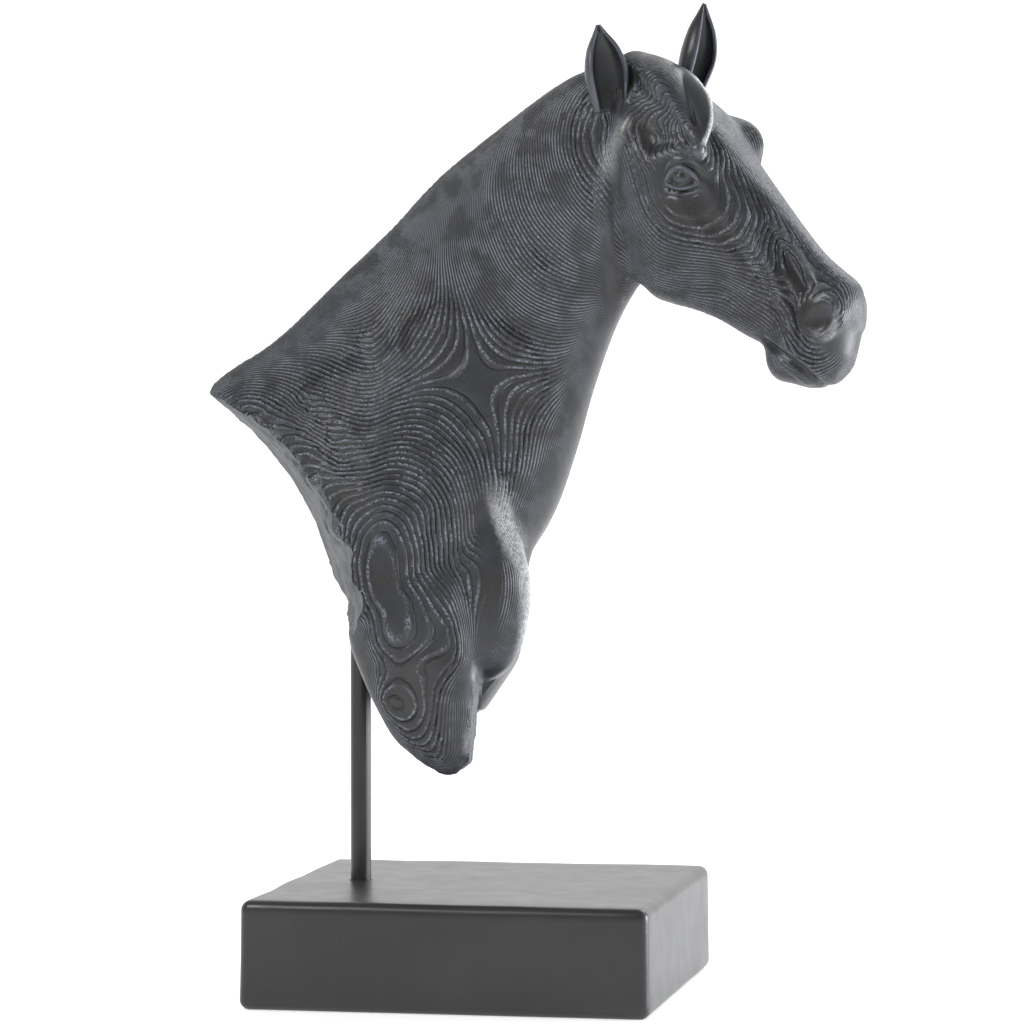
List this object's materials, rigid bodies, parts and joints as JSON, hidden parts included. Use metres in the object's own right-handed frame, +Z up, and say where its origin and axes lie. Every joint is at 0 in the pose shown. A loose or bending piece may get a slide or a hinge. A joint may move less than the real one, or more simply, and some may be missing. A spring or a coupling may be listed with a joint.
{
  "type": "horse sculpture",
  "caption": "Decorative horse head and neck bust with contour-line carving, held on a round rod above a heavy square block base.",
  "frame": {"origin": "middle of the block base's underside", "axes": "+Z up; +X the way the horse's chest faces; the head turns towards -Y, the side that the picture shows"},
  "size_m": [0.3134, 0.19, 0.4542],
  "materials": {
    "base_black": "satin black paint over wood-fibre board",
    "rod_black": "satin black paint on steel rod",
    "bust_resin": "matte charcoal cast resin with a blue-grey wash and pale dry-brushed ridges"
  },
  "bodies": {
    "root": {"base_block": "base_black", "support_rod": "rod_black", "horse_bust": "bust_resin"}
  },
  "joints": []
}
